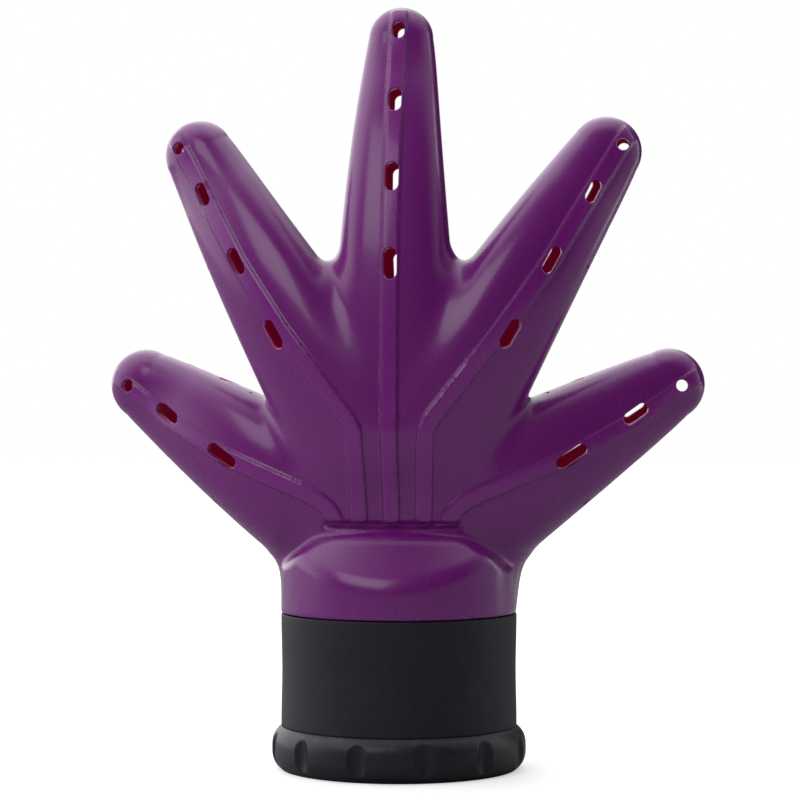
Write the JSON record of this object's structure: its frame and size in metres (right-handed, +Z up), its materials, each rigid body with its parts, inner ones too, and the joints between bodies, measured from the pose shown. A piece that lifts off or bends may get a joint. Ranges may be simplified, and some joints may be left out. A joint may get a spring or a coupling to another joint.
{
  "type": "dryer diffuser",
  "caption": "Hollow hand-shaped hair dryer diffuser with vented fingers, on a twist-lock nozzle adapter with sliding claws.",
  "frame": {"origin": "centre of the flat underside of the grip ring, on the adapter's axis", "axes": "+Z up along the adapter to the fingertips; -Y faces the back of the hand, the convex side; +X across the hand"},
  "size_m": [0.1826, 0.076, 0.2286],
  "materials": {
    "purple_plastic": "glossy moulded plastic, slightly see-through",
    "sleeve_black": "soft-touch matte",
    "ring_black": "satin moulded plastic",
    "claw_plastic": "moulded nylon",
    "pad_rubber": "matte silicone",
    "seal_rubber": "matte silicone",
    "clip_steel": "spring steel"
  },
  "bodies": {
    "hand_and_sleeve": {"dorsal_shell": "purple_plastic", "palm_shell": "purple_plastic", "adapter_sleeve": "sleeve_black", "collar_clip": "clip_steel", "nozzle_seal": "seal_rubber", "guide_plate": "claw_plastic", "ring_clip": "clip_steel"},
    "grip_ring": {"grip_ring": "ring_black"},
    "claw_1": {"claw_1": "claw_plastic", "claw_pad_1": "pad_rubber"},
    "claw_2": {"claw_2": "claw_plastic", "claw_pad_2": "pad_rubber"},
    "claw_3": {"claw_3": "claw_plastic", "claw_pad_3": "pad_rubber"},
    "claw_4": {"claw_4": "claw_plastic", "claw_pad_4": "pad_rubber"},
    "claw_5": {"claw_5": "claw_plastic", "claw_pad_5": "pad_rubber"},
    "claw_6": {"claw_6": "claw_plastic", "claw_pad_6": "pad_rubber"}
  },
  "joints": [
    {"name": "ring_twist", "type": "hinge", "parent": "hand_and_sleeve", "child": "grip_ring", "pos_m": [0, 0, 0.0064], "axis": [0, 0, 1], "range_deg": [0, 60]},
    {"name": "claw_slide_1", "type": "slide", "parent": "hand_and_sleeve", "child": "claw_1", "axis": [-1, 0, 0], "range_m": [0, 0.0045]},
    {"name": "claw_slide_2", "type": "slide", "parent": "hand_and_sleeve", "child": "claw_2", "axis": [-0.5, -0.866, 0], "range_m": [0, 0.0045]},
    {"name": "claw_slide_3", "type": "slide", "parent": "hand_and_sleeve", "child": "claw_3", "axis": [0.5, -0.866, 0], "range_m": [0, 0.0045]},
    {"name": "claw_slide_4", "type": "slide", "parent": "hand_and_sleeve", "child": "claw_4", "axis": [1, 0, 0], "range_m": [0, 0.0045]},
    {"name": "claw_slide_5", "type": "slide", "parent": "hand_and_sleeve", "child": "claw_5", "axis": [0.5, 0.866, 0], "range_m": [0, 0.0045]},
    {"name": "claw_slide_6", "type": "slide", "parent": "hand_and_sleeve", "child": "claw_6", "axis": [-0.5, 0.866, 0], "range_m": [0, 0.0045]}
  ],
  "couplings": [
    {"joint": "claw_slide_1", "follows": "ring_twist", "m_per_rad": 0.004297},
    {"joint": "claw_slide_2", "follows": "ring_twist", "m_per_rad": 0.004297},
    {"joint": "claw_slide_3", "follows": "ring_twist", "m_per_rad": 0.004297},
    {"joint": "claw_slide_4", "follows": "ring_twist", "m_per_rad": 0.004297},
    {"joint": "claw_slide_5", "follows": "ring_twist", "m_per_rad": 0.004297},
    {"joint": "claw_slide_6", "follows": "ring_twist", "m_per_rad": 0.004297}
  ]
}
